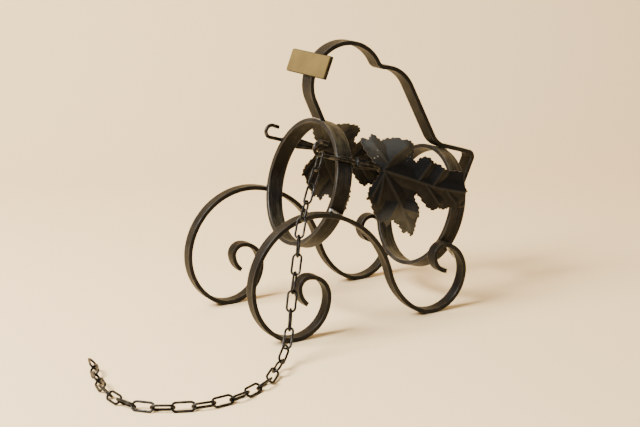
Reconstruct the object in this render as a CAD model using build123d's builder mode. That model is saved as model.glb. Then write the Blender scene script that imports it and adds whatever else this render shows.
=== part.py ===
from build123d import *
from math import atan2, copysign, cos, degrees, radians, sin, sqrt
import os

# Wrought-iron wine bottle cradle in the form of a little cannon carriage. Millimetres, +Z up.
# +Y runs from the bottle's neck end (front ring) to its base (rear ring), +X is the cradle's
# right-hand side. The origin is on the ground, below the middle of the cradle's own outline.

# ---- Rings that hold the bottle -------------------------------------------------------------
RING_INNER_RADIUS = 41.0    # lets a 76 mm bottle slide in
BAND_THICKNESS = 3.0
BAND_WIDTH = 12.0
AXIS_TILT = 17.0            # the bottle's axis falls this much from the neck to the base
FRONT_RING_Y = -38.6
FRONT_RING_Z = 93.5
RING_SPACING = 97.2         # between the two rings, along the bottle's axis

# ---- Flat bar scroll feet -------------------------------------------------------------------
FOOT_WIDTH = 8.0
FOOT_THICKNESS = 3.0
FRONT_CONTACT_Y = -71.7     # where the front scroll rests on the ground
FOOT_DROP = 11.2            # the foot crosses the ring this far below its centre
# Tangent bends of the bar's middle line, each (radius, turn in degrees), left turns positive.
FRONT_CURL = [(25, 92), (15.2, 86), (7.1, 97), (15, 46)]       # from the ground inwards
FRONT_RISE = [(25, -34), (38.4, -68), (46.4, -88), (62.6, -66)]  # from the ground over the top
REAR_FALL = [(48.7, 44), (26.2, 32)]                           # down to the rear scroll
REAR_CURL = [(26.2, 85), (21, 76), (8, 115), (11.5, 75)]       # from the ground round and in

# ---- Carrying handle, with the bottle stop at its rear end ----------------------------------
HANDLE_WIDTH = 12.0
HANDLE_THICKNESS = 3.0
HANDLE_FOOT_SETBACK = 3.4   # along the front ring's band, to the middle of the bar
HANDLE_LEAN = 114.0         # heading of the bar where it leaves the front ring
HANDLE_RISE = 16.6          # straight before the bar starts to bend over
HANDLE_CUT = 1.3            # cut off the bar's foot to fit the ring's round
HANDLE_CROWN = [(23.5, -34), (28, -143)]                       # up, over the top, down
HANDLE_NOTCH = [(6.5, 59), (26.5, -59)]                        # dent and second hump
HANDLE_LANDING_RADIUS = 16.5   # where the bar comes down on to the rear ring
STOP_SETBACK = 33.4         # from the rear ring's front edge to the stop's bend, along the axis
STOP_BEND = (4.2, -98)
STOP_LENGTH = 36.0

# ---- Name plaque on the front of the handle, left blank ------------------------------------
PLAQUE_WIDTH = 50.0
PLAQUE_HEIGHT = 15.8
PLAQUE_PLATE_THICKNESS = 1.7
PLAQUE_FACE_THICKNESS = 0.7
PLAQUE_BORDER = 0.5         # of the plate, left round the brass face
PLAQUE_LEAN = 68.0          # heading of the bar where the plate touches it
PLAQUE_RISE = 4.5           # of the plate's middle above that point, along the plate
PLAQUE_CORNER_RADIUS = 1.0

# ---- Stem rods with a hook at the front and a leaf at the back -----------------------------
ROD_DIAMETER = 2.6
ROD_ANGLE = 30.0            # round the front ring, above its centre
ROD_BACK = 25.4             # from the ring to the leaf
ROD_REACH = {"right": 22.0, "left": 14.5}   # from the ring to the start of the hook
HOOK_RADIUS = 4.3
HOOK_TURN = 185.0
HOOK_TIP = 4.5

# ---- Pressed vine leaves --------------------------------------------------------------------
LEAF_THICKNESS = 1.0
LEAF_CUP_RADIUS = 120.0     # the blade curls in towards the bottle
LEAF_CUP_Z = 72.0           # height of the blade's widest point
LEAF_CLEARANCE = 0.3        # between the blade and the rear ring's widest point
LEAF_OUTLINE = [
    (1, 103.5),                                                          # stem
    (-2.5, 108.5), (-6, 113.5), (-9, 118), (-9.5, 125.5),                # upper front lobe
    (-5, 123.5), (-1, 127), (3, 123), (6.5, 121.5),
    (10, 123.5), (15, 122.5), (18, 123), (24, 120.5), (28.5, 120),       # upper rear lobe
    (27.5, 117.5), (31, 116), (28, 111), (28, 107),
    (31, 105), (36.5, 108.5), (40.5, 107.5), (43, 104.5), (48, 102.5),   # rear lobe
    (50.5, 99), (59, 94), (65.5, 90), (66.5, 84.5), (70, 81.5),
    (67, 79), (66.5, 72), (58, 71), (53.5, 72.5), (50.5, 70),
    (46, 73), (41, 70.5), (36, 75), (30, 82.5), (27, 84.5),
    (25.5, 81.5), (29, 76), (27.5, 73), (29, 69.5), (26.5, 65),          # lower rear lobe
    (26, 60.5), (23, 55), (20, 60), (17, 58), (14.5, 63),
    (12, 65), (8, 70), (5, 69.5), (2.5, 65.5), (-0.5, 70.5), (-4.5, 70), # lower front lobe
    (-6.5, 76.5), (-9.5, 82), (-13, 85.5), (-11.5, 91), (-6, 97),
]

# ---- Chain that hangs in the right-hand hook ------------------------------------------------
WIRE_DIAMETER = 1.5
LINK_LENGTH = 15.0
LINK_WIDTH = 7.0
LINK_PLAY = 0.2             # gap between the wires of two linked links
HANG_PLAY = 0.25            # gap between the first link and the rod
LINK_COUNT = 29
CHAIN_REACH = 20.5          # from the front ring to where the chain hangs on the rod
# Middle line of the chain: down over the foot, out to the ground, then a lazy curve to its end.
# The first number is how far it lies outside the right foot's outer face.
CHAIN_ROUTE = [
    (-7.05, -51.5, 110.6), (-4.25, -56.5, 103), (-1.85, -61, 96.6),
    (1.75, -65, 89), (5.35, -71, 81.5), (9.35, -75, 69.5),
    (13.35, -79, 57.8), (17.35, -83.3, 47.4), (21.35, -87.6, 37.1), (25.35, -91, 27), (29.35, -94.5, 17.2),
    (33.85, -99.7, 9.5), (40.35, -107, 6), (48.85, -115.5, 4.2), (56.35, -124, 2.8), (61.15, -132.5, 2.8),
    (65.75, -142, 2.8), (68.95, -153.8, 2.8), (69.75, -166.5, 2.8), (67.55, -178, 2.8),
    (62.85, -188.8, 2.8), (56.85, -199, 2.8), (49.15, -206.4, 2.8), (37.35, -211.4, 2.8),
    (21.45, -212.7, 2.8), (2.15, -210.4, 2.8), (-19.55, -204.7, 2.8), (-35.65, -200, 2.8),
]
# How far the links after the first are turned about the middle line: (link number, degrees).
CHAIN_TWIST = [(4, 0), (10, 0), (14, 45), (LINK_COUNT, 45)]
SEARCH_SHARE = 0.2          # of the whole route, more than one link can span
SEARCH_HALVINGS = 40        # far below any size that matters

# ---- Weld beads and edges -------------------------------------------------------------------
BEAD_RADIUS = 1.7
BEAD_FALL = 3.0             # how much steeper than the bottle's axis the foot's bead runs
BRIDGE_RADIUS = 2.4         # bead that fills the gap between rear ring and rear scroll
BRIDGE_ENDS = (45, 25)      # degrees of bend before the end of the scroll's second curl
LEAF_SEAT_HEIGHT = 9.0      # of the leaf's bead, above the rear ring's middle
BAR_EDGE = 0.45             # rounding of the rolled bars' long edges
SEAT_GAP = 0.1              # between bars that a weld bead joins


def normal_to(heading):
    """Unit vector to the left of a heading, in the Y-Z plane."""
    return Vector(-sin(radians(heading)), cos(radians(heading)))


def along(heading):
    """Unit vector in the direction of a heading, in the Y-Z plane."""
    return Vector(cos(radians(heading)), sin(radians(heading)))


def walk(point, heading, runs):
    """Point and heading at the end of tangent runs, each (radius, turn) or (length, 0)."""
    for size, turn in runs:
        if turn == 0:
            point = point + along(heading) * size
        else:
            side = copysign(size, turn)
            centre = point + normal_to(heading) * side
            point = centre - normal_to(heading + turn) * side
        heading += turn
    return point, heading


def strip_outline(start, heading, runs, thickness):
    """Closed outline of a flat bar bent through tangent runs, seen from its edge."""
    corners = []
    for offset in (thickness / 2, -thickness / 2):
        point = start + normal_to(heading) * offset
        corners.append(point)
        direction = heading
        for size, turn in runs:
            if turn == 0:
                edge = Line(point, point + along(direction) * size)
            else:
                radius = size - offset * copysign(1, turn)
                edge = JernArc(point, along(direction), radius, turn)
            point = edge @ 1
            direction += turn
        corners.append(point)
    Line(corners[0], corners[2])
    Line(corners[1], corners[3])


def bent_bar(start, heading, runs, thickness, plane, width):
    """A flat bar bent on its face, with its long edges rounded."""
    with BuildPart() as bar:
        with BuildSketch(plane):
            with BuildLine():
                strip_outline(start, heading, runs, thickness)
            make_face()
        extrude(amount=width)
        faces = bar.faces().filter_by(Axis.X)
        fillet(faces.edges(), radius=BAR_EDGE)
    return bar


def bead(start, end, radius, neighbours):
    """A weld bead between two points, cut back to the surfaces that it joins."""
    start, end = Vector(*start), Vector(*end)
    with BuildPart() as weld:
        with BuildSketch(Plane(origin=start, z_dir=end - start)):
            Circle(radius)
        extrude(amount=(end - start).length)
        with Locations(start, end):
            Sphere(radius)
        for neighbour in neighbours:
            add(neighbour, mode=Mode.SUBTRACT)
    return weld


# ---- Places that several pieces share -------------------------------------------------------
ring_outer_radius = RING_INNER_RADIUS + BAND_THICKNESS
axis_direction = along(-AXIS_TILT)
crown_direction = normal_to(-AXIS_TILT)
front_centre = Vector(FRONT_RING_Y, FRONT_RING_Z)
rear_centre = front_centre + axis_direction * RING_SPACING


def ring_point(centre, setback, height):
    """Y-Z point of a ring, behind its front edge and above its axis."""
    return centre + axis_direction * setback + crown_direction * height


def at_x(x, point):
    """A Y-Z point placed at an X."""
    return Vector(x, point.X, point.Y)


def ring_plane(centre):
    """Plane of a ring's front edge, looking along the bottle's axis."""
    return Plane(origin=at_x(0, centre), x_dir=(1, 0, 0), z_dir=at_x(0, axis_direction))


def ring(centre):
    """A flat band ring round the bottle's axis, behind the given centre."""
    with BuildPart() as band:
        with BuildSketch(ring_plane(centre)):
            Circle(ring_outer_radius)
            Circle(RING_INNER_RADIUS, mode=Mode.SUBTRACT)
        extrude(amount=BAND_WIDTH)
        fillet(band.edges(), radius=BAR_EDGE)
    return band


# ---- Rings ----------------------------------------------------------------------------------
front_ring = ring(front_centre)
rear_ring = ring(rear_centre)

# ---- Feet -----------------------------------------------------------------------------------
foot_inner_x = sqrt(ring_outer_radius**2 - FOOT_DROP**2) + SEAT_GAP
foot_outer_x = foot_inner_x + FOOT_WIDTH
ground_level = FOOT_THICKNESS / 2
front_contact = Vector(FRONT_CONTACT_Y, ground_level)
curl_tip, curl_heading = walk(front_contact, 0, FRONT_CURL)
inward_curl = [(radius, -turn) for radius, turn in reversed(FRONT_CURL)]
shoulder_end, leg_heading = walk(front_contact, 180, FRONT_RISE)
fall_end, _ = walk(Vector(0, 0), leg_heading, REAR_FALL)
# The straight between the scrolls is as long as it takes for both to rest on the ground.
leg_length = (ground_level - shoulder_end.Y - fall_end.Y) / sin(radians(leg_heading))
foot_runs = inward_curl + FRONT_RISE + [(leg_length, 0)] + REAR_FALL + REAR_CURL

right_foot = bent_bar(
    curl_tip,
    curl_heading + 180,
    foot_runs,
    FOOT_THICKNESS,
    Plane.YZ.offset(foot_inner_x),
    FOOT_WIDTH,
)
rear_contact, _ = walk(
    curl_tip, curl_heading + 180, inward_curl + FRONT_RISE + [(leg_length, 0)] + REAR_FALL
)

# ---- Handle ---------------------------------------------------------------------------------
handle_start = ring_point(front_centre, HANDLE_FOOT_SETBACK, ring_outer_radius - HANDLE_CUT)
stop_bend_start = ring_point(
    rear_centre, STOP_SETBACK, ring_outer_radius + HANDLE_THICKNESS / 2 + SEAT_GAP
)
crown_runs = [(HANDLE_RISE, 0)] + HANDLE_CROWN + HANDLE_NOTCH
slope_start, slope_heading = walk(handle_start, HANDLE_LEAN, crown_runs)
landing_bend = (HANDLE_LANDING_RADIUS, -AXIS_TILT - slope_heading)
landing_end, _ = walk(slope_start, slope_heading, [landing_bend])
# The slope down and the run back over the rear ring are as long as it takes to reach the stop.
missing = stop_bend_start - landing_end
slope_length = missing.dot(crown_direction) / along(slope_heading).dot(crown_direction)
run_length = (missing - along(slope_heading) * slope_length).dot(axis_direction)
handle_runs = crown_runs + [(slope_length, 0), landing_bend, (run_length, 0)]
handle_runs += [STOP_BEND, (STOP_LENGTH, 0)]
handle_bar = bent_bar(
    handle_start,
    HANDLE_LEAN,
    handle_runs,
    HANDLE_THICKNESS,
    Plane.YZ.offset(-HANDLE_WIDTH / 2),
    HANDLE_WIDTH,
)
with BuildPart() as handle:
    add(handle_bar.part)
    with BuildSketch(ring_plane(front_centre)):
        Circle(ring_outer_radius + SEAT_GAP)
    extrude(amount=BAND_WIDTH, mode=Mode.SUBTRACT)

# ---- Plaque ---------------------------------------------------------------------------------
first_radius, first_turn = HANDLE_CROWN[0]
to_plaque = [
    (HANDLE_RISE, 0),
    (first_radius, first_turn),
    (HANDLE_CROWN[1][0], PLAQUE_LEAN - HANDLE_LEAN - first_turn),
]
touch, _ = walk(handle_start, HANDLE_LEAN, to_plaque)
plate_back = touch + normal_to(PLAQUE_LEAN) * (HANDLE_THICKNESS / 2 + SEAT_GAP)
plate_middle = plate_back + along(PLAQUE_LEAN) * PLAQUE_RISE
plate_plane = Plane(
    origin=at_x(0, plate_middle), x_dir=(1, 0, 0), z_dir=at_x(0, normal_to(PLAQUE_LEAN))
)
with BuildPart() as plaque_plate:
    with BuildSketch(plate_plane):
        RectangleRounded(PLAQUE_WIDTH, PLAQUE_HEIGHT, PLAQUE_CORNER_RADIUS)
    extrude(amount=PLAQUE_PLATE_THICKNESS)

with BuildPart() as plaque_face:
    with BuildSketch(plate_plane.offset(PLAQUE_PLATE_THICKNESS)):
        RectangleRounded(
            PLAQUE_WIDTH - 2 * PLAQUE_BORDER,
            PLAQUE_HEIGHT - 2 * PLAQUE_BORDER,
            PLAQUE_CORNER_RADIUS,
        )
    extrude(amount=PLAQUE_FACE_THICKNESS)

# ---- Stem rods ------------------------------------------------------------------------------
rod_radius = ROD_DIAMETER / 2
rod_circle = ring_outer_radius + rod_radius + SEAT_GAP
rod_x = rod_circle * cos(radians(ROD_ANGLE))
rod_height = rod_circle * sin(radians(ROD_ANGLE))
rod_cross = ring_point(front_centre, BAND_WIDTH / 2, rod_height)
rod_back = rod_cross + axis_direction * ROD_BACK
rod_heading = 180 - AXIS_TILT


def stem_rod(x, reach):
    """A round rod from the leaf, past the front ring, to its upturned hook."""
    tail = at_x(x, rod_back)
    forward = at_x(0, along(rod_heading))
    hook_end = at_x(0, along(rod_heading - HOOK_TURN))
    with BuildPart() as rod:
        with BuildLine(Plane.YZ.offset(x)) as path:
            shank = Line(tail, tail + forward * (ROD_BACK + reach))
            curl = JernArc(shank @ 1, forward, HOOK_RADIUS, -HOOK_TURN)
            Line(curl @ 1, (curl @ 1) + hook_end * HOOK_TIP)
        with BuildSketch(Plane(origin=tail, z_dir=forward)):
            Circle(rod_radius)
        sweep(path=path.wire())
    return rod


right_rod = stem_rod(rod_x, ROD_REACH["right"])
left_rod = stem_rod(-rod_x, ROD_REACH["left"])

# ---- Leaves ---------------------------------------------------------------------------------
leaf_inner_x = ring_outer_radius + LEAF_CLEARANCE
leaf_cup_plane = Plane(
    origin=(leaf_inner_x + LEAF_THICKNESS - LEAF_CUP_RADIUS, 0, LEAF_CUP_Z),
    x_dir=(1, 0, 0),
    z_dir=(0, 1, 0),
)
with BuildPart() as right_leaf:
    with BuildSketch(leaf_cup_plane):
        Circle(LEAF_CUP_RADIUS)
        Circle(LEAF_CUP_RADIUS - LEAF_THICKNESS, mode=Mode.SUBTRACT)
    extrude(amount=LEAF_CUP_RADIUS, both=True)
    with BuildSketch(Plane.YZ):
        with BuildLine():
            Polyline(*LEAF_OUTLINE, close=True)
        make_face()
    extrude(amount=LEAF_CUP_RADIUS, mode=Mode.INTERSECT)
    add(right_rod.part, mode=Mode.SUBTRACT)


def leaf_inner_at(z):
    """X of the blade's inner face at a height."""
    inner_radius = LEAF_CUP_RADIUS - LEAF_THICKNESS
    return leaf_cup_plane.origin.X + sqrt(inner_radius**2 - (z - LEAF_CUP_Z) ** 2)


# ---- Pieces of the left-hand side -----------------------------------------------------------
with BuildPart() as left_foot:
    add(mirror(right_foot.part, about=Plane.YZ))

with BuildPart() as left_leaf:
    add(mirror(right_leaf.part, about=Plane.YZ))

# ---- Weld beads -----------------------------------------------------------------------------
foot_front_weld = bead(
    at_x(foot_inner_x, ring_point(front_centre, BEAD_RADIUS, -FOOT_DROP)),
    at_x(foot_inner_x, ring_point(front_centre, BAND_WIDTH - BEAD_RADIUS, -FOOT_DROP - BEAD_FALL)),
    BEAD_RADIUS,
    [front_ring.part, right_foot.part],
)
first_curl, second_curl = REAR_CURL[:2]
bridge_low, bridge_high = [
    walk(rear_contact, 0, [first_curl, (second_curl[0], second_curl[1] - before)])[0]
    for before in BRIDGE_ENDS
]
bridge_x = foot_inner_x - BRIDGE_RADIUS / 2
foot_rear_weld = bead(
    at_x(bridge_x, bridge_low),
    at_x(bridge_x, bridge_high),
    BRIDGE_RADIUS,
    [rear_ring.part, right_foot.part],
)
handle_bead = HANDLE_WIDTH / 2 - BEAD_RADIUS
handle_foot_front = ring_point(
    front_centre, HANDLE_FOOT_SETBACK - HANDLE_THICKNESS / 2 - SEAT_GAP, ring_outer_radius
)
weld_handle_front = bead(
    at_x(-handle_bead, handle_foot_front),
    at_x(handle_bead, handle_foot_front),
    BEAD_RADIUS,
    [front_ring.part, handle.part],
)
handle_meets_rear = ring_point(rear_centre, BAND_WIDTH, ring_outer_radius - SEAT_GAP)
weld_handle_rear = bead(
    at_x(-handle_bead, handle_meets_rear),
    at_x(handle_bead, handle_meets_rear),
    BEAD_RADIUS,
    [rear_ring.part, handle.part],
)
crotch = radians(ROD_ANGLE + degrees(BEAD_RADIUS / ring_outer_radius))
crotch_x = ring_outer_radius * cos(crotch)
crotch_height = ring_outer_radius * sin(crotch)
rod_weld = bead(
    at_x(crotch_x, ring_point(front_centre, BEAD_RADIUS, crotch_height)),
    at_x(crotch_x, ring_point(front_centre, BAND_WIDTH - BEAD_RADIUS, crotch_height)),
    BEAD_RADIUS,
    [front_ring.part, right_rod.part],
)
leaf_stem_weld = bead(
    at_x(rod_x, rod_back),
    Vector(leaf_inner_at(rod_back.Y), rod_back.X, rod_back.Y) + Vector(0, 1, -1) * BEAD_RADIUS,
    BEAD_RADIUS,
    [right_rod.part, right_leaf.part],
)
leaf_seat = ring_point(rear_centre, BAND_WIDTH / 2, LEAF_SEAT_HEIGHT)
leaf_bead_x = leaf_inner_x - BEAD_RADIUS / 2
leaf_ring_weld = bead(
    at_x(leaf_bead_x, leaf_seat - axis_direction * BEAD_RADIUS),
    at_x(leaf_bead_x, leaf_seat + axis_direction * BEAD_RADIUS),
    BEAD_RADIUS,
    [rear_ring.part, right_leaf.part],
)

# ---- Chain ----------------------------------------------------------------------------------
wire_radius = WIRE_DIAMETER / 2
loop_radius = (LINK_WIDTH - WIRE_DIAMETER) / 2
loop_straight = LINK_LENGTH - LINK_WIDTH
loop_half = (LINK_LENGTH - WIRE_DIAMETER) / 2
link_pitch = LINK_LENGTH - 2 * WIRE_DIAMETER - LINK_PLAY
hang = rod_cross + along(rod_heading) * CHAIN_REACH
hang_point = at_x(rod_x, hang)
# From the rod's middle to the middle of the first link.
first_drop = loop_half - rod_radius - wire_radius - HANG_PLAY


def twist_across_rod(direction):
    """The twist that lays the first link square across the rod."""
    side = Vector(0, 0, 1).cross(direction).normalized()
    rod_line = at_x(0, along(rod_heading))
    return degrees(atan2(-side.dot(rod_line), direction.cross(side).dot(rod_line)))


def twist_of(number, first_twist):
    """How far a link is turned about the chain's middle line."""
    twists = [(1, first_twist), *CHAIN_TWIST]
    for (low, low_turn), (high, high_turn) in zip(twists, twists[1:]):
        if number <= high:
            return low_turn + (high_turn - low_turn) * (number - low) / (high - low)
    return twists[-1][1]


def next_joint(route, start, parameter, distance):
    """Where the route is this far from the start, by halving the interval."""
    low, high = parameter, min(1, parameter + SEARCH_SHARE)
    for _ in range(SEARCH_HALVINGS):
        middle = (low + high) / 2
        if (route.position_at(middle) - start).length < distance:
            low = middle
        else:
            high = middle
    return route.position_at(high), high


def link_plane(centre, direction, roll):
    """Plane of a link: its length along the chain, its width turned by the roll."""
    side = Vector(0, 0, 1).cross(direction).normalized()
    width = side.rotate(Axis((0, 0, 0), direction), roll)
    return Plane(origin=centre, x_dir=direction, z_dir=direction.cross(width))


def chain_link(plane):
    """One round-wire link lying in a plane."""
    with BuildPart() as piece:
        with BuildLine(plane) as loop:
            lower = Line((-loop_straight / 2, -loop_radius), (loop_straight / 2, -loop_radius))
            front = JernArc(lower @ 1, lower % 1, loop_radius, 180)
            upper = Line(front @ 1, (-loop_straight / 2, loop_radius))
            JernArc(upper @ 1, upper % 1, loop_radius, 180)
        with BuildSketch(Plane(origin=lower @ 0, z_dir=lower % 0)):
            Circle(wire_radius)
        sweep(path=loop.wire())
    return piece


route = Spline(hang_point, *[Vector(foot_outer_x + out, y, z) for out, y, z in CHAIN_ROUTE])
chain = []
joint, parameter = next_joint(route, hang_point, 0, first_drop + link_pitch / 2)
heading = (joint - hang_point).normalized()
first_twist = twist_across_rod(heading)
chain.append(chain_link(link_plane(hang_point + heading * first_drop, heading, first_twist)))
for number in range(2, LINK_COUNT + 1):
    following, parameter = next_joint(route, joint, parameter, link_pitch)
    heading = (following - joint).normalized()
    roll = 90 * (number - 1) + twist_of(number, first_twist)
    chain.append(chain_link(link_plane((joint + following) / 2, heading, roll)))
    joint = following

# ---- Finished pieces ------------------------------------------------------------------------
os.makedirs("parts", exist_ok=True)
pieces = {
    "front_ring": front_ring,
    "rear_ring": rear_ring,
    "right_foot": right_foot,
    "left_foot": left_foot,
    "handle": handle,
    "plaque_plate": plaque_plate,
    "plaque_face": plaque_face,
    "right_rod": right_rod,
    "left_rod": left_rod,
    "right_leaf": right_leaf,
    "left_leaf": left_leaf,
    "weld_handle_front": weld_handle_front,
    "weld_handle_rear": weld_handle_rear,
}
for name, weld in {
    "foot_front": foot_front_weld,
    "foot_rear": foot_rear_weld,
    "rod": rod_weld,
    "leaf_stem": leaf_stem_weld,
    "leaf_ring": leaf_ring_weld,
}.items():
    with BuildPart() as left_weld:
        add(mirror(weld.part, about=Plane.YZ))
    pieces[f"weld_{name}_right"] = weld
    pieces[f"weld_{name}_left"] = left_weld
for number, piece in enumerate(chain, start=1):
    pieces[f"chain_link_{number:02d}"] = piece
for name, piece in pieces.items():
    piece.part.label = name
    export_step(piece.part, f"parts/{name}.step")
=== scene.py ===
import math

import bpy
from mathutils import Matrix, Vector


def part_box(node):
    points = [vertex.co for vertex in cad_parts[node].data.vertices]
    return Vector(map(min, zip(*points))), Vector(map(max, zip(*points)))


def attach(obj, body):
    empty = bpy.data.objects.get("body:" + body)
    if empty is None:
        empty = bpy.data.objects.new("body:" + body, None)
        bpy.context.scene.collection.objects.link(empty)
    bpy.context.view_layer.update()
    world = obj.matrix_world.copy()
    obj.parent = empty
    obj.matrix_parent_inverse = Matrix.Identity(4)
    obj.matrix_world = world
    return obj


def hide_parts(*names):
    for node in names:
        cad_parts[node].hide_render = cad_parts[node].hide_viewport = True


bl_info = {
    "name": "Wine Bottle Cradle",
    "version": (1, 0, 0),
    "blender": (4, 5, 0),
    "location": "View3D > Sidebar > Cradle",
    "description": "Wrought-iron wine bottle cradle with vine leaves, plaque and chain",
    "category": "Add Mesh",
}

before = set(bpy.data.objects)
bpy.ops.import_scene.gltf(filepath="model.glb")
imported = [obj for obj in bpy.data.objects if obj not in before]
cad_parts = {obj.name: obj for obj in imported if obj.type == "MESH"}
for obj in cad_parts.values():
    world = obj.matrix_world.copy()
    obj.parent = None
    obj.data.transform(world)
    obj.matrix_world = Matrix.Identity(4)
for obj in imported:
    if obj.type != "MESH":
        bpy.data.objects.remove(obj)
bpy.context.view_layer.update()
MM = 0.001
BODY = "rack"
LINKS = sorted(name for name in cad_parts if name.startswith("chain_link"))

# Places on the cradle, (y, z) in millimetres. Another program worked out most points of
# LEAF_OUTLINE from the photograph.
AXIS_TILT = math.radians(17)
FRONT_RING = (-38.6, 93.5)
REAR_RING = (54.35, 65.08)
LEAF_OUTLINE = [
    (1, 103.5), (-2.5, 108.5), (-5.6, 112.8), (-7.9, 116.9), (-9.5, 120.9), (-9.4, 124.8),
    (-8, 125.3), (-5.6, 123.6), (-3.6, 124.2), (-1.1, 126.6), (1.6, 126.2), (3.6, 123.8),
    (6.5, 121.8), (10, 122.9), (14.8, 122.6), (17.9, 122.7), (24, 120.8), (28, 120),
    (30, 118.1), (31.3, 115.9), (29.8, 112.7), (27.7, 109.7), (28.1, 107), (31.1, 105.2),
    (33, 107.1), (36.5, 108.2), (40.5, 107.7), (42.7, 105.3), (44.1, 103.1), (48.1, 102.2),
    (50.3, 99.7), (52.7, 98.1), (59, 96), (67.6, 94.9), (66.9, 84.2), (69.8, 81.4),
    (67.6, 80.1), (66.8, 71.2), (60, 70.8), (53.1, 71.6), (50.6, 70.4), (47.2, 71.7),
    (43.8, 72.9), (41.3, 71.2), (37.1, 73.2), (33.8, 77.1), (29.8, 82.5), (27.4, 84.5),
    (25.7, 82.4), (27.2, 78.7), (28.8, 75.7), (28, 73), (28.9, 69.4), (27.3, 66.8),
    (26.6, 62.6), (25.1, 60.7), (24.5, 57.2), (23, 55.2), (21.2, 57.7), (18.6, 59.5),
    (17, 58.3), (14.3, 62.3), (12.6, 65.4), (10.1, 66.5), (8.4, 69.5), (6, 69.2),
    (4.4, 67.3), (2.8, 65.4), (1.2, 67.8), (-0.5, 70.1), (-2, 69), (-4.5, 70.7),
    (-6, 74.4), (-8.3, 78.8), (-9.7, 83.7), (-10.4, 85.8), (-12.7, 85.8), (-11.7, 89.3),
    (-10.7, 92.5), (-7.1, 96), (-3.7, 98.9), (-0.9, 101.8),
]
LEAF_VEINS = [
    ((1.5, 104), (12, 112)), ((12, 112), (24, 117.5)), ((6, 108.5), (-2, 121)),
    ((1.5, 104), (22, 96)), ((22, 96), (44, 87)), ((44, 87), (66, 81)),
    ((28, 93.5), (40, 104)), ((40, 89), (50, 99)), ((34, 91), (44, 76)), ((50, 85.5), (58, 74)),
    ((1.5, 104), (10, 86)), ((10, 86), (22, 60)), ((12, 82), (2, 70)), ((14, 77), (26, 72)),
    ((2, 102), (-5, 84)), ((2, 102), (-9, 89)),
]
TOOTHED_EDGE = 2.4  # the shortest edge of the outline that has a tooth, in millimetres
TOOTH = ((0.42, 0.55), (0.6, -0.4))  # along the edge, and how far out
FLOOR_DEPTH = 0.75  # from the object to the wall behind it
FLOOR_SWEEP = 0.35  # radius of the sweep from floor to wall
CUP_REACH = 15.0  # the deepest that the leaf's cup can be, in millimetres
STEM_LENGTH = 0.018  # from the leaf to the front ring
STEM_WIDTH = 0.0042  # across the stem, away from the ring
STEM_TAPER = 0.62  # factor of the taper, with the thick end ahead
RIBS = 8  # round the stem
GROOVE_RADIUS = 0.42  # of the grooves between the ribs, on a bar of radius 0.5
LEAF_CREST = (45.3, 72)  # x and z of the blade's outermost line, in millimetres
LEAF_CUP_RADIUS = 120  # the blade curls in towards the bottle
LEAF_MIDDLE = (44.8, 28.5, 91)  # of the flat grid that the leaf is cut from, in millimetres
LEAF_GRID = (75, 87)  # height and length of the grid, in millimetres
LEAF_SHEET = 1.0  # thickness of the sheet, in millimetres
PRISM_START = 0.02  # x of the inner face of the block that cuts the leaf's outline
PRISM_DEPTH = 0.04
UPPER_LOBE_PAINTED_LIGHT = (0.104, 0.122)  # heights between which the upper lobe gets lighter: painted light, where the light falls on it
LOWER_LOBE_PAINTED_LIGHT = (0.084, 0.066)  # heights between which the lower lobe gets lighter: painted light
LOWER_LOBE_LIGHT_AHEAD = (0.036, 0.022)  # and the y between which it does
PAINTED_TOP_HIGHLIGHT = (0.13, 0.115, 0.062, 1)  # colour of a painted warm highlight on the rings' upward faces, as if lit from above
WELD_HOLLOW = (0.16, 0.14, 0.12, 1)  # colour of the hollows in a weld
LEAF_CLOUD = (0.0070, 0.0066, 0.0068, 1)  # colour of the leaf's faint clouds
NICK_COLOUR = (0.8, 0.78, 0.7, 1)  # colour of the bright nicks in the leaf
CAMERA_TURN = (59.368, 14.434, -0.666)  # yaw, pitch and roll in degrees
CAMERA_PLACE = (0.76584, -0.4770, 0.29795)
CAMERA_LENS = 75.06  # in millimetres, for a sensor 36 wide
LIGHT_TARGET = (0.02, -0.05, 0.06)


def leaf_x(z):
    """X in millimetres of the blade's outer face at a height."""
    crest_x, crest_z = LEAF_CREST
    return crest_x - LEAF_CUP_RADIUS + math.sqrt(LEAF_CUP_RADIUS**2 - (z - crest_z) ** 2)


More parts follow.
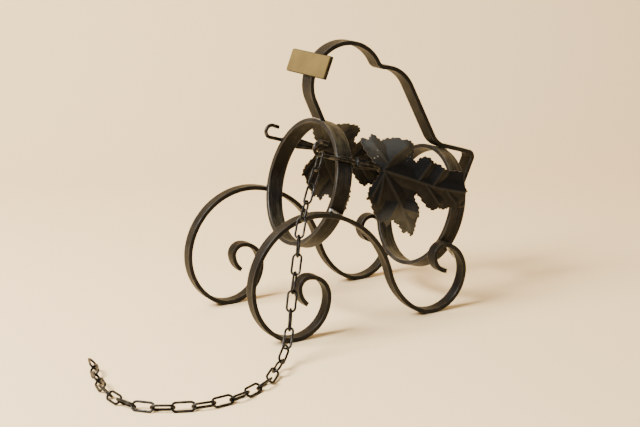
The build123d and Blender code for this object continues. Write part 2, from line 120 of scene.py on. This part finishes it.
class CradleLook(bpy.types.PropertyGroup):
    """Sizes and colours that a user may change."""

    iron_dark: bpy.props.FloatVectorProperty(
        name="Iron, dark", description="Colour of the oiled iron", subtype="COLOR",
        size=4, default=(0.0036, 0.0032, 0.0028, 1), min=0, max=1,
    )
    iron_light: bpy.props.FloatVectorProperty(
        name="Iron, worn", description="Colour of brushed streaks and rubbed edges and their painted highlight",
        subtype="COLOR", size=4, default=(0.082, 0.075, 0.064, 1), min=0, max=1,
    )
    leaf_dark: bpy.props.FloatVectorProperty(
        name="Leaf, dark", description="Colour of the leaves' blued sheet", subtype="COLOR",
        size=4, default=(0.0032, 0.0030, 0.0027, 1), min=0, max=1,
    )
    leaf_light: bpy.props.FloatVectorProperty(
        name="Leaf, rubbed and painted light", description="Colour of the veins, the rims and the painted light on the lobes",
        subtype="COLOR", size=4, default=(0.060, 0.060, 0.054, 1), min=0, max=1,
    )
    weld_colour: bpy.props.FloatVectorProperty(
        name="Weld", description="Colour of the ground weld metal", subtype="COLOR",
        size=4, default=(0.62, 0.60, 0.55, 1), min=0, max=1,
    )
    plaque_colour: bpy.props.FloatVectorProperty(
        name="Plaque", description="Colour of the plaque's brass face", subtype="COLOR",
        size=4, default=(0.140, 0.100, 0.032, 1), min=0, max=1,
    )
    floor_colour: bpy.props.FloatVectorProperty(
        name="Floor", description="Colour of the floor and the backdrop", subtype="COLOR",
        size=4, default=(0.94, 0.695, 0.375, 1), min=0, max=1,
    )
    vein_height: bpy.props.FloatProperty(
        name="Vein height", description="How far the veins stand out of the leaf",
        default=0.0008, min=0, max=0.002, unit="LENGTH",
    )
    leaf_relief: bpy.props.FloatProperty(
        name="Leaf relief", description="How far the lobes between the veins bulge",
        default=0.0022, min=0, max=0.005, unit="LENGTH",
    )
    stem_thickness: bpy.props.FloatProperty(
        name="Stem thickness", description="Thickness of the fluted stem at its middle",
        default=0.0046, min=0.003, max=0.007, unit="LENGTH",
    )
    key_power: bpy.props.FloatProperty(
        name="Key light", description="Power of the soft light at the upper left",
        default=59, min=0, unit="POWER",
    )


def look():
    """The scene's settings."""
    return bpy.context.scene.cradle_look


# ---- Shader helpers -------------------------------------------------------------------------


def node(tree, kind, inputs=None, **settings):
    """Adds a shader node, with its settings, and its inputs linked or set."""
    made = tree.nodes.new(kind)
    for key, value in settings.items():
        setattr(made, key, value)
    for key, value in (inputs or {}).items():
        if isinstance(value, bpy.types.NodeSocket):
            tree.links.new(value, made.inputs[key])
        else:
            made.inputs[key].default_value = value
    return made


def math_node(tree, operation, first, second=0.0, clamp=False):
    """Output of a Math node."""
    return node(
        tree, "ShaderNodeMath", {0: first, 1: second}, operation=operation, use_clamp=clamp
    ).outputs[0]


def ramp(tree, value, low, high, to_low=0.0, to_high=1.0):
    """Output of a Map Range node, smooth and clamped."""
    return node(
        tree,
        "ShaderNodeMapRange",
        {0: value, 1: low, 2: high, 3: to_low, 4: to_high},
        interpolation_type="SMOOTHSTEP",
    ).outputs[0]


def mix(tree, factor, first, second):
    """Colour output of a Mix node."""
    return node(
        tree, "ShaderNodeMix", {0: factor, 6: first, 7: second}, data_type="RGBA"
    ).outputs[2]


def new_group(name, inputs, outputs):
    """An empty shader node group with float, vector or colour sockets."""
    group = bpy.data.node_groups.new(name, "ShaderNodeTree")
    kinds = {"F": "NodeSocketFloat", "V": "NodeSocketVector", "C": "NodeSocketColor"}
    for label, kind, default in inputs:
        socket = group.interface.new_socket(label, in_out="INPUT", socket_type=kinds[kind])
        socket.default_value = default
    for label, kind in outputs:
        group.interface.new_socket(label, in_out="OUTPUT", socket_type=kinds[kind])
    return group, node(group, "NodeGroupInput").outputs, node(group, "NodeGroupOutput").inputs


def use_group(tree, group, inputs=None):
    """Outputs of a group placed in a material."""
    placed = tree.nodes.new("ShaderNodeGroup")
    placed.node_tree = group
    for key, value in (inputs or {}).items():
        if isinstance(value, bpy.types.NodeSocket):
            tree.links.new(value, placed.inputs[key])
        else:
            placed.inputs[key].default_value = value
    return placed.outputs


def object_position(tree):
    """Position in the object's own coordinates."""
    return node(tree, "ShaderNodeTexCoord").outputs["Object"]


def noise(tree, position, scale, detail=4.0, roughness=0.55):
    """Noise value at a position."""
    return node(
        tree,
        "ShaderNodeTexNoise",
        {"Vector": position, "Scale": scale, "Detail": detail, "Roughness": roughness},
    ).outputs[0]


def edge_wear_and_highlight_group():
    """Mask of a flat band's two long edges, broken up by noise: rubbed wear plus a painted edge
    highlight.
    """
    group, given, out = new_group(
        "Edge wear and highlight",
        [("Centre", "V", (0, 0, 0)), ("Axis", "V", (1, 0, 0)), ("Half width", "F", 0.006),
         ("Wear", "F", 0.0012), ("Mirrored", "F", 0.0)],
        [("Mask", "F")],
    )
    position = object_position(group)
    parts = node(group, "ShaderNodeSeparateXYZ", {0: position})
    flipped = math_node(group, "ABSOLUTE", parts.outputs[0])
    difference = math_node(group, "SUBTRACT", flipped, parts.outputs[0])
    x = math_node(
        group, "ADD", parts.outputs[0], math_node(group, "MULTIPLY", difference, given["Mirrored"])
    )
    folded = node(group, "ShaderNodeCombineXYZ", {0: x, 1: parts.outputs[1], 2: parts.outputs[2]})
    offset = node(
        group, "ShaderNodeVectorMath", {0: folded.outputs[0], 1: given["Centre"]},
        operation="SUBTRACT",
    ).outputs[0]
    along = node(
        group, "ShaderNodeVectorMath", {0: offset, 1: given["Axis"]}, operation="DOT_PRODUCT"
    ).outputs["Value"]
    distance = math_node(
        group, "SUBTRACT", given["Half width"], math_node(group, "ABSOLUTE", along)
    )
    uneven = ramp(group, noise(group, position, 110), 0.3, 0.7, 0.35, 1.5)
    worn = math_node(group, "MULTIPLY", given["Wear"], uneven)
    closeness = math_node(group, "SUBTRACT", 1.0, math_node(group, "DIVIDE", distance, worn), True)
    normal = node(group, "ShaderNodeNewGeometry").outputs["Normal"]
    facing = node(
        group, "ShaderNodeVectorMath", {0: normal, 1: given["Axis"]}, operation="DOT_PRODUCT"
    ).outputs["Value"]
    corner = ramp(group, math_node(group, "ABSOLUTE", facing), 0.8, 0.98, 1.0, 0.1)
    group.links.new(math_node(group, "MULTIPLY", closeness, corner), out["Mask"])
    return group


def streak_group():
    """Brushed streaks, stretched along the chosen axes, and large patches."""
    group, given, out = new_group(
        "Brushed streaks",
        [("Stretch", "V", (10, 1, 1)), ("Rotation", "V", (0, 0, 0)), ("Scale", "F", 1500.0)],
        [("Streaks", "F"), ("Patches", "F")],
    )
    position = object_position(group)
    turned = node(
        group, "ShaderNodeMapping",
        {"Vector": position, "Rotation": given["Rotation"], "Scale": given["Stretch"]},
        vector_type="TEXTURE",
    ).outputs[0]
    fine = noise(group, turned, given["Scale"], 5.0, 0.6)
    coarse = noise(group, turned, math_node(group, "MULTIPLY", given["Scale"], 0.22), 3.0)
    both = math_node(group, "ADD", math_node(group, "MULTIPLY", fine, 0.6),
                     math_node(group, "MULTIPLY", coarse, 0.4))
    group.links.new(ramp(group, both, 0.36, 0.68), out["Streaks"])
    group.links.new(ramp(group, noise(group, position, 45, 3.0), 0.38, 0.66), out["Patches"])
    return group


def speckle_group():
    """Tiny bright nicks in scattered clusters."""
    group, given, out = new_group(
        "Speckles", [("Scale", "F", 900.0), ("Amount", "F", 0.5)], [("Mask", "F")]
    )
    position = object_position(group)
    cells = node(
        group, "ShaderNodeTexVoronoi", {"Vector": position, "Scale": given["Scale"]}
    ).outputs["Distance"]
    dots = ramp(group, cells, 0.10, 0.20, 1.0, 0.0)
    clusters = ramp(group, noise(group, position, 60, 2.0), 0.52, 0.70)
    mask = math_node(group, "MULTIPLY", dots, clusters)
    group.links.new(math_node(group, "MULTIPLY", mask, given["Amount"]), out["Mask"])
    return group


def vein_group():
    """Closeness to a straight vein between two points, 1 on its crest."""
    group, given, out = new_group(
        "Vein",
        [("Start", "V", (0, 0, 0)), ("End", "V", (0, 0, 1)), ("Width", "F", 0.0012),
         ("Other veins", "F", 0.0)],
        [("Ridge", "F")],
    )

    def vector(operation, first, second):
        return node(group, "ShaderNodeVectorMath", {0: first, 1: second}, operation=operation)

    flat = vector("MULTIPLY", object_position(group), (0, 1, 1)).outputs[0]
    run = vector("SUBTRACT", given["End"], given["Start"]).outputs[0]
    reach = vector("SUBTRACT", flat, given["Start"]).outputs[0]
    share = math_node(
        group, "DIVIDE", vector("DOT_PRODUCT", reach, run).outputs["Value"],
        vector("DOT_PRODUCT", run, run).outputs["Value"], True,
    )
    foot = node(
        group, "ShaderNodeVectorMath", {0: run, "Scale": share}, operation="SCALE"
    ).outputs[0]
    distance = vector("DISTANCE", reach, foot).outputs["Value"]
    ridge = math_node(
        group, "SUBTRACT", 1.0, math_node(group, "DIVIDE", distance, given["Width"]), True
    )
    group.links.new(math_node(group, "MAXIMUM", ridge, given["Other veins"]), out["Ridge"])
    return group


GROUPS = {}


def shared(name):
    """A shared node group, built on first use."""
    makers = {
        "edge": edge_wear_and_highlight_group, "streak": streak_group,
        "speckle": speckle_group, "vein": vein_group,
    }
    if name not in GROUPS:
        GROUPS[name] = makers[name]()
    return GROUPS[name]


def new_material(name):
    """A material with only its Principled shader, and that shader's tree."""
    material = bpy.data.materials.new(name)
    material.use_nodes = True
    tree = material.node_tree
    surface = tree.nodes["Principled BSDF"].inputs
    surface["Specular IOR Level"].default_value = 0.22
    return material, tree, surface


def finish_surface(tree, surface, colour, roughness, height, strength, distance):
    """Links colour, roughness and a bump from the height to the shader."""
    tree.links.new(colour, surface["Base Color"])
    tree.links.new(roughness, surface["Roughness"])
    bump = node(
        tree, "ShaderNodeBump", {"Height": height, "Strength": strength, "Distance": distance}
    )
    tree.links.new(bump.outputs[0], surface["Normal"])


def iron(name, centre, axis, half_width, stretch, rotation=(0, 0, 0), mirrored=0.0, top_highlight_strength=0.0,
         tone=1.0):
    """Forged iron with streaks along a band, rubbed long edges with a painted highlight, and a
    painted warm highlight on upward faces.
    """
    material, tree, surface = new_material(name)
    edge = use_group(
        tree, shared("edge"),
        {"Centre": centre, "Axis": axis, "Half width": half_width, "Mirrored": mirrored},
    )["Mask"]
    streaks = use_group(tree, shared("streak"), {"Stretch": stretch, "Rotation": rotation})
    position = object_position(tree)
    grain = noise(tree, position, 1600, 3.0)
    patches = streaks["Patches"]
    rubbed = math_node(tree, "MULTIPLY", streaks["Streaks"], ramp(tree, patches, 0, 1, 0.05, 0.42))
    light = tuple(c * tone for c in look().iron_light[:3]) + (1,)
    colour = mix(tree, rubbed, look().iron_dark, light)
    normal = node(tree, "ShaderNodeNewGeometry").outputs["Normal"]
    up = node(tree, "ShaderNodeSeparateXYZ", {0: normal})
    # Painted highlight: faces that point up are mixed towards a warm colour, as if lit from above.
    top_highlight = math_node(tree, "MULTIPLY", ramp(tree, up.outputs[2], 0.35, 0.95), top_highlight_strength)
    top_highlight = math_node(tree, "MULTIPLY", top_highlight, ramp(tree, streaks["Streaks"], 0.1, 0.9, 0.12, 1))
    colour = mix(tree, top_highlight, colour, PAINTED_TOP_HIGHLIGHT)
    # The long edges get the worn colour: rubbed wear and a painted edge highlight.
    colour = mix(tree, math_node(tree, "MULTIPLY", edge, 0.85), colour, light)
    roughness = ramp(tree, math_node(tree, "ADD", rubbed, edge), 0, 1, 0.55, 0.30)
    surface["Metallic"].default_value = 0.45
    height = math_node(tree, "ADD", math_node(tree, "MULTIPLY", streaks["Streaks"], 0.6), grain)
    finish_surface(tree, surface, colour, roughness, height, 0.35, 0.0002)
    return material


def weld_metal():
    """Ground, bright weld beads."""
    material, tree, surface = new_material("Weld metal")
    position = object_position(tree)
    lumps = noise(tree, position, 500, 4.0, 0.6)
    colour = mix(tree, ramp(tree, lumps, 0.38, 0.58), WELD_HOLLOW, look().weld_colour)
    surface["Metallic"].default_value = 0.9
    roughness = ramp(tree, lumps, 0.3, 0.7, 0.42, 0.24)
    finish_surface(tree, surface, colour, roughness, lumps, 0.7, 0.0006)
    return material


def plaque_brass():
    """Satin brass with a slightly darker cloud and a fine grain."""
    material, tree, surface = new_material("Plaque brass")
    position = object_position(tree)
    cloud = noise(tree, position, 55, 3.0)
    grain = noise(tree, position, 2600, 3.0)
    darker = tuple(c * 0.72 for c in look().plaque_colour[:3]) + (1,)
    colour = mix(tree, ramp(tree, cloud, 0.35, 0.7), darker, look().plaque_colour)
    surface["Metallic"].default_value = 0.35
    roughness = ramp(tree, cloud, 0.3, 0.7, 0.5, 0.38)
    finish_surface(tree, surface, colour, roughness, grain, 0.12, 0.0001)
    return material


def leaf_iron():
    """Blued sheet with rubbed veins, painted light on the upper and lower lobes, and bright nicks.
    """
    material, tree, surface = new_material("Leaf iron")
    position = object_position(tree)
    ridge = 0.0
    for start, end in LEAF_VEINS:
        ridge = use_group(
            tree, shared("vein"),
            {"Start": (0, start[0] * MM, start[1] * MM), "End": (0, end[0] * MM, end[1] * MM),
             "Width": 0.0011, "Other veins": ridge},
        )["Ridge"]
    parts = node(tree, "ShaderNodeSeparateXYZ", {0: position})
    cloud = noise(tree, position, 70, 4.0, 0.6)
    grain = noise(tree, position, 1500, 4.0)
    # Painted light: the upper lobe, and the lower lobe ahead, are mixed towards the lighter
    # colour, as where the light falls on them; the nicks keep to the upper lobe.
    upper = ramp(tree, parts.outputs[2], *UPPER_LOBE_PAINTED_LIGHT)
    lower = ramp(tree, parts.outputs[2], *LOWER_LOBE_PAINTED_LIGHT)
    ahead = ramp(tree, parts.outputs[1], *LOWER_LOBE_LIGHT_AHEAD)
    lobes = math_node(tree, "MAXIMUM", upper, math_node(tree, "MULTIPLY", lower, ahead))
    lobes = math_node(tree, "MULTIPLY", lobes, ramp(tree, cloud, 0.35, 0.62, 0.40, 0.95))
    colour = mix(tree, ramp(tree, cloud, 0.35, 0.7), look().leaf_dark, LEAF_CLOUD)
    colour = mix(tree, lobes, colour, look().leaf_light)
    colour = mix(tree, math_node(tree, "MULTIPLY", ridge, 0.30), colour, look().leaf_light)
    nicks = use_group(tree, shared("speckle"), {"Scale": 420.0, "Amount": 0.8})["Mask"]
    nicks = math_node(tree, "MULTIPLY", nicks, upper)
    colour = mix(tree, nicks, colour, NICK_COLOUR)
    surface["Metallic"].default_value = 0.45
    height = math_node(tree, "ADD", math_node(tree, "MULTIPLY", cloud, 1.4), grain)
    roughness = ramp(tree, cloud, 0.3, 0.7, 0.50, 0.36)
    finish_surface(tree, surface, colour, roughness, height, 0.3, 0.0005)
    return material


def wire_iron(name, tone):
    """Dark iron with rubbed spots, for wire and small parts."""
    material, tree, surface = new_material(name)
    position = object_position(tree)
    spots = noise(tree, position, 260, 4.0, 0.6)
    grain = noise(tree, position, 2200, 3.0)
    light = tuple(c * tone for c in look().iron_light[:3]) + (1,)
    colour = mix(tree, ramp(tree, spots, 0.45, 0.72), look().iron_dark, light)
    surface["Metallic"].default_value = 0.5
    roughness = ramp(tree, spots, 0.3, 0.7, 0.45, 0.3)
    finish_surface(tree, surface, colour, roughness, grain, 0.35, 0.0002)
    return material


def paint(names, material):
    """Gives CAD nodes one material."""
    for name in names:
        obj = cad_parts[name]
        obj.data.materials.clear()
        obj.data.materials.append(material)


# ---- Modelling helpers ----------------------------------------------------------------------


def active(obj):
    """Makes one object the only selected and active one."""
    bpy.ops.object.select_all(action="DESELECT")
    obj.select_set(True)
    bpy.context.view_layer.objects.active = obj


def place_in_mesh(obj):
    """Moves an object's placement into its mesh."""
    active(obj)
    bpy.ops.object.transform_apply(location=True, rotation=True, scale=True)


def apply_modifiers(obj):
    """Applies every modifier in turn."""
    active(obj)
    for modifier in list(obj.modifiers):
        bpy.ops.object.modifier_apply(modifier=modifier.name)


def clean(obj):
    """Merges doubles and turns the normals outward."""
    active(obj)
    bpy.ops.object.mode_set(mode="EDIT")
    bpy.ops.mesh.select_all(action="SELECT")
    bpy.ops.mesh.remove_doubles(threshold=1e-6)
    bpy.ops.mesh.normals_make_consistent(inside=False)
    bpy.ops.object.mode_set(mode="OBJECT")


def distance_to_vein(y, z, vein):
    """Distance in millimetres from a point of the leaf to a vein."""
    (y0, z0), (y1, z1) = vein
    run_y, run_z = y1 - y0, z1 - z0
    share = ((y - y0) * run_y + (z - z0) * run_z) / (run_y**2 + run_z**2)
    share = max(0.0, min(1.0, share))
    return math.hypot(y - y0 - run_y * share, z - z0 - run_z * share)


def toothed_outline():
    """The leaf's outline with one small tooth on every long edge."""
    points = []
    for (y0, z0), (y1, z1) in zip(LEAF_OUTLINE, LEAF_OUTLINE[1:] + LEAF_OUTLINE[:1]):
        points.append((y0, z0))
        run = math.hypot(y1 - y0, z1 - z0)
        if run > TOOTHED_EDGE:
            out = ((z0 - z1) / run, (y1 - y0) / run)
            for share, height in TOOTH:
                points.append((
                    y0 + (y1 - y0) * share + out[0] * height,
                    z0 + (z1 - z0) * share + out[1] * height,
                ))
    return points


def outline_prism(name):
    """A thick block with the leaf's outline, drawn point by point and extruded."""
    bpy.ops.object.select_all(action="DESELECT")
    outline = toothed_outline()
    start = outline[0]
    corner = (PRISM_START, start[0] * MM, start[1] * MM)
    bpy.ops.mesh.primitive_plane_add(size=MM, location=corner)
    prism = bpy.context.object
    prism.name = name
    place_in_mesh(prism)
    bpy.ops.object.mode_set(mode="EDIT")
    bpy.ops.mesh.select_all(action="SELECT")
    bpy.ops.mesh.merge(type="CENTER")
    for (y0, z0), (y1, z1) in zip(outline, outline[1:]):
        step = (0, (y1 - y0) * MM, (z1 - z0) * MM)
        bpy.ops.mesh.extrude_vertices_move(TRANSFORM_OT_translate={"value": step})
    bpy.ops.mesh.select_all(action="SELECT")
    bpy.ops.mesh.edge_face_add()
    bpy.ops.mesh.extrude_region_move(TRANSFORM_OT_translate={"value": (PRISM_DEPTH, 0, 0)})
    bpy.ops.mesh.select_all(action="SELECT")
    bpy.ops.mesh.normals_make_consistent(inside=False)
    bpy.ops.object.mode_set(mode="OBJECT")
    return prism


def weigh(obj, weights_of):
    """Vertex groups whose weights come from each vertex's place in millimetres."""
    groups = {}
    for vertex in obj.data.vertices:
        for name, weight in weights_of(vertex.co.y / MM, vertex.co.z / MM).items():
            if name not in groups:
                groups[name] = obj.vertex_groups.new(name=name)
            groups[name].add([vertex.index], max(0.0, min(1.0, weight)), "REPLACE")


def displace(obj, group, strength):
    """Displaces the vertices of a group along X."""
    modifier = obj.modifiers.new(group, "DISPLACE")
    modifier.direction = "X"
    modifier.mid_level = 0
    modifier.strength = strength
    modifier.vertex_group = group


def leaf_weights(y, z):
    """Weights of the blade at a place: its cup, the bulge between veins, and the crests."""
    nearest = min(distance_to_vein(y, z, vein) for vein in LEAF_VEINS)
    return {
        "cup": (LEAF_CREST[0] - leaf_x(z)) / CUP_REACH,
        "bulge": min(1.0, nearest / 7) ** 1.5,
        "veins": 1 - nearest / 1.3,
    }


class CRADLE_OT_leaves(bpy.types.Operator):
    """Presses the two vine leaves: outline, cup, veins and bulging lobes"""

    bl_idname = "cradle.leaves"
    bl_label = "Vine leaves"

    def execute(self, context):
        material = leaf_iron()
        prism = outline_prism("leaf_cutter")
        bpy.ops.object.select_all(action="DESELECT")
        centre = tuple(place * MM for place in LEAF_MIDDLE)
        bpy.ops.mesh.primitive_grid_add(
            x_subdivisions=120, y_subdivisions=136, size=MM, location=centre,
            rotation=(0, math.pi / 2, 0),
        )
        leaf = bpy.context.object
        leaf.name = "right_leaf_pressed"
        leaf.scale = (*LEAF_GRID, 1)
        place_in_mesh(leaf)
        weigh(leaf, leaf_weights)
        displace(leaf, "cup", -CUP_REACH * MM)
        displace(leaf, "bulge", -look().leaf_relief)
        displace(leaf, "veins", look().vein_height)
        solid = leaf.modifiers.new("thickness", "SOLIDIFY")
        solid.thickness = LEAF_SHEET * MM
        solid.offset = 0
        apply_modifiers(leaf)
        clean(leaf)
        cut = leaf.modifiers.new("outline", "BOOLEAN")
        cut.operation = "INTERSECT"
        cut.solver = "EXACT"
        cut.object = prism
        apply_modifiers(leaf)
        bpy.data.objects.remove(prism)
        clean(leaf)
        if len(leaf.data.polygons) < 1000:
            raise RuntimeError("the leaf's outline cut failed")
        active(leaf)
        bpy.ops.object.shade_smooth_by_angle(angle=math.radians(50))
        leaf.data.materials.append(material)
        other = leaf.copy()
        other.data = leaf.data.copy()
        other.name = "left_leaf_pressed"
        bpy.context.collection.objects.link(other)
        active(other)
        other.scale.x = -1
        place_in_mesh(other)
        clean(other)
        for obj, side in ((leaf, "right"), (other, "left")):
            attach(obj, BODY)
            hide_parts(f"{side}_leaf")
        return {"FINISHED"}


class CRADLE_OT_stems(bpy.types.Operator):
    """Forges the fluted stems between the front ring and the leaves"""

    bl_idname = "cradle.stems"
    bl_label = "Fluted stems"

    def execute(self, context):
        material = wire_iron("Stem iron", 0.45)
        low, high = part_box("right_rod")
        back = Vector((0, math.cos(AXIS_TILT), -math.sin(AXIS_TILT)))
        rod_x = (low[0] + high[0]) / 2
        tail = Vector((rod_x, high[1] - 0.4 * MM, low[2] + 1.2 * MM))
        for side, label in ((1, "right"), (-1, "left")):
            place = tail - back * (STEM_LENGTH / 2)
            place.x *= side
            stem = fluted_bar(f"{label}_stem", place, STEM_LENGTH, STEM_TAPER)
            stem.data.materials.append(material)
            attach(stem, BODY)
        return {"FINISHED"}


def fluted_bar(name, place, length, taper):
    """A tapered bar along the rod, with ribs that run along it."""
    bpy.ops.object.select_all(action="DESELECT")
    bpy.ops.mesh.primitive_cylinder_add(
        vertices=48, radius=0.5, depth=1, end_fill_type="NGON", location=place
    )
    bar = bpy.context.object
    bar.name = name
    group = bar.vertex_groups.new(name="ribs")
    for vertex in bar.data.vertices:
        angle = math.atan2(vertex.co.y, vertex.co.x)
        group.add([vertex.index], 0.5 - 0.5 * math.cos(RIBS * angle), "REPLACE")
    ribs = bar.modifiers.new("ribs", "CAST")
    ribs.cast_type = "CYLINDER"
    ribs.vertex_group = group.name
    ribs.use_z = False
    ribs.size = GROOVE_RADIUS
    ribs.factor = 1
    narrowing = bar.modifiers.new("taper", "SIMPLE_DEFORM")
    narrowing.deform_method = "TAPER"
    narrowing.deform_axis = "Z"
    narrowing.factor = taper
    apply_modifiers(bar)
    bar.rotation_euler = (math.pi / 2 - AXIS_TILT, 0, 0)
    bar.scale = (STEM_WIDTH, look().stem_thickness, length)
    place_in_mesh(bar)
    rounding = bar.modifiers.new("round", "BEVEL")
    rounding.width = 0.25 * MM
    rounding.segments = 2
    rounding.angle_limit = math.radians(60)
    apply_modifiers(bar)
    clean(bar)
    bpy.ops.object.shade_smooth_by_angle(angle=math.radians(50))
    return bar


class CRADLE_OT_metal(bpy.types.Operator):
    """Gives the bars, rods, welds and plaque their metal"""

    bl_idname = "cradle.metal"
    bl_label = "Bars, welds and plaque"

    def execute(self, context):
        axis = (0, math.cos(AXIS_TILT), -math.sin(AXIS_TILT))
        half = 6 * MM
        for name, (y, z) in (("front_ring", FRONT_RING), ("rear_ring", REAR_RING)):
            centre = (0, y * MM + axis[1] * half, z * MM + axis[2] * half)
            paint([name], iron(f"Iron {name}", centre, axis, half, (10, 1, 10),
                               (-AXIS_TILT, 0, 0), top_highlight_strength=0.6))
        foot_x = sum(corner[0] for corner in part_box("right_foot")) / 2
        paint(["right_foot", "left_foot"],
              iron("Iron feet", (foot_x, 0, 0), (1, 0, 0), 4 * MM, (1, 10, 10), mirrored=1.0,
                   tone=0.42))
        paint(["handle"], iron("Iron handle", (0, 0, 0), (1, 0, 0), half, (1, 10, 10), tone=0.45))
        paint(["right_rod", "left_rod"], wire_iron("Rod iron", 0.9))
        paint(["plaque_plate"], wire_iron("Plaque plate iron", 0.5))
        paint(["plaque_face"], plaque_brass())
        welds = [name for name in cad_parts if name.startswith("weld")]
        oiled = [name for name in welds if "rod" in name or "leaf" in name]
        paint(oiled, wire_iron("Oiled weld", 0.6))
        paint([name for name in welds if name not in oiled], weld_metal())
        return {"FINISHED"}


class CRADLE_OT_chain(bpy.types.Operator):
    """Gives the chain its dark wire"""

    bl_idname = "cradle.chain"
    bl_label = "Chain"

    def execute(self, context):
        paint(LINKS, wire_iron("Chain iron", 0.55))
        return {"FINISHED"}


def area_light(name, power, size, place, target):
    """A large soft light that looks at a point."""
    light = bpy.data.lights.new(name, "AREA")
    light.energy = power
    light.size = size
    obj = bpy.data.objects.new(name, light)
    obj.location = place
    obj.rotation_euler = (Vector(target) - Vector(place)).to_track_quat("-Z", "Y").to_euler()
    bpy.context.collection.objects.link(obj)


def backdrop(yaw):
    """A floor that sweeps up into a wall behind the object, square to the camera."""
    bpy.ops.mesh.primitive_plane_add(size=1)
    floor = bpy.context.object
    floor.name = "floor"
    floor.scale = (8, 4, 1)
    floor.location = (0, FLOOR_DEPTH - 2, 0)
    place_in_mesh(floor)
    bpy.ops.object.mode_set(mode="EDIT")
    bpy.ops.mesh.select_all(action="DESELECT")
    bpy.ops.object.mode_set(mode="OBJECT")
    for edge in floor.data.edges:
        ends = [floor.data.vertices[index] for index in edge.vertices]
        edge.select = all(end.co.y > FLOOR_DEPTH - 0.01 for end in ends)
    for vertex in floor.data.vertices:
        vertex.select = vertex.co.y > FLOOR_DEPTH - 0.01
    bpy.ops.object.mode_set(mode="EDIT")
    bpy.ops.mesh.extrude_region_move(TRANSFORM_OT_translate={"value": (0, 0, 3)})
    bpy.ops.mesh.select_all(action="DESELECT")
    bpy.ops.object.mode_set(mode="OBJECT")
    for edge in floor.data.edges:
        ends = [floor.data.vertices[index].co for index in edge.vertices]
        edge.select = all(end.y > FLOOR_DEPTH - 0.01 and end.z < 0.01 for end in ends)
    bpy.ops.object.mode_set(mode="EDIT")
    bpy.ops.mesh.select_mode(type="EDGE")
    bpy.ops.mesh.bevel(offset=FLOOR_SWEEP, segments=16)
    bpy.ops.object.mode_set(mode="OBJECT")
    floor.rotation_euler.z = yaw
    place_in_mesh(floor)
    bpy.ops.object.shade_smooth()
    return floor


def see_through_from_behind(tree):
    """Lets a camera behind the wall look through it."""
    shader = tree.nodes["Principled BSDF"].outputs[0]
    clear = node(tree, "ShaderNodeBsdfTransparent").outputs[0]
    behind = node(tree, "ShaderNodeNewGeometry").outputs["Backfacing"]
    both = node(tree, "ShaderNodeMixShader", {0: behind, 1: shader, 2: clear}).outputs[0]
    tree.links.new(both, tree.nodes["Material Output"].inputs["Surface"])


class CRADLE_OT_stage(bpy.types.Operator):
    """Sets up the floor, the lights and the camera"""

    bl_idname = "cradle.stage"
    bl_label = "Stage"

    def execute(self, context):
        bpy.ops.object.select_all(action="DESELECT")
        yaw, pitch, roll = (math.radians(angle) for angle in CAMERA_TURN)
        floor = backdrop(yaw)
        material, tree, surface = new_material("Floor")
        mottle = noise(tree, object_position(tree), 3, 2.0)
        darker = tuple(c * 0.97 for c in look().floor_colour[:3]) + (1,)
        colour = mix(tree, mottle, darker, look().floor_colour)
        tree.links.new(colour, surface["Base Color"])
        surface["Roughness"].default_value = 0.9
        see_through_from_behind(tree)
        floor.data.materials.append(material)

        world = bpy.data.worlds.new("Studio")
        context.scene.world = world
        world.use_nodes = True
        sky = world.node_tree.nodes["Background"].inputs
        sky[0].default_value = (1.0, 0.95, 0.87, 1)
        sky[1].default_value = 0.27

        area_light("Key", look().key_power, 0.6, (-0.02, -0.94, 0.98), LIGHT_TARGET)
        area_light("Side", look().key_power * 0.07, 0.8, (1.3, 0.5, 0.8), LIGHT_TARGET)
        area_light("Back", look().key_power * 0.14, 0.8, (-0.9, 0.6, 1.1), LIGHT_TARGET)

        forward = Vector((-math.sin(yaw) * math.cos(pitch), math.cos(yaw) * math.cos(pitch),
                          -math.sin(pitch)))
        right = forward.cross(Vector((0, 0, 1))).normalized()
        up = right.cross(forward)
        across = right * math.cos(roll) + up * math.sin(roll)
        above = up * math.cos(roll) - right * math.sin(roll)
        camera = bpy.data.objects.new("Camera", bpy.data.cameras.new("Camera"))
        camera.data.lens = CAMERA_LENS
        camera.data.sensor_width = 36
        camera.data.clip_start = 0.01
        turn = Matrix((across, above, -forward)).transposed().to_4x4()
        camera.matrix_world = Matrix.Translation(CAMERA_PLACE) @ turn
        context.collection.objects.link(camera)
        context.scene.camera = camera
        return {"FINISHED"}


class CRADLE_PT_panel(bpy.types.Panel):
    """Lists the steps that build the cradle's looks"""

    bl_idname = "CRADLE_PT_panel"
    bl_label = "Wine Bottle Cradle"
    bl_space_type = "VIEW_3D"
    bl_region_type = "UI"
    bl_category = "Cradle"

    def draw(self, context):
        for operator in OPERATORS:
            self.layout.operator(operator.bl_idname)
        for name in CradleLook.__annotations__:
            self.layout.prop(look(), name)


OPERATORS = (CRADLE_OT_metal, CRADLE_OT_leaves, CRADLE_OT_stems, CRADLE_OT_chain, CRADLE_OT_stage)
CLASSES = (CradleLook, *OPERATORS, CRADLE_PT_panel)


def register():
    """Adds the classes and the scene's settings."""
    for cls in CLASSES:
        bpy.utils.register_class(cls)
    bpy.types.Scene.cradle_look = bpy.props.PointerProperty(type=CradleLook)


def unregister():
    """Removes the scene's settings and the classes."""
    del bpy.types.Scene.cradle_look
    for cls in reversed(CLASSES):
        bpy.utils.unregister_class(cls)


def main():
    """Builds the looks step by step."""
    register()
    bpy.ops.cradle.metal()
    bpy.ops.cradle.leaves()
    bpy.ops.cradle.stems()
    bpy.ops.cradle.chain()
    bpy.ops.cradle.stage()


if __name__ == "__main__":
    main()
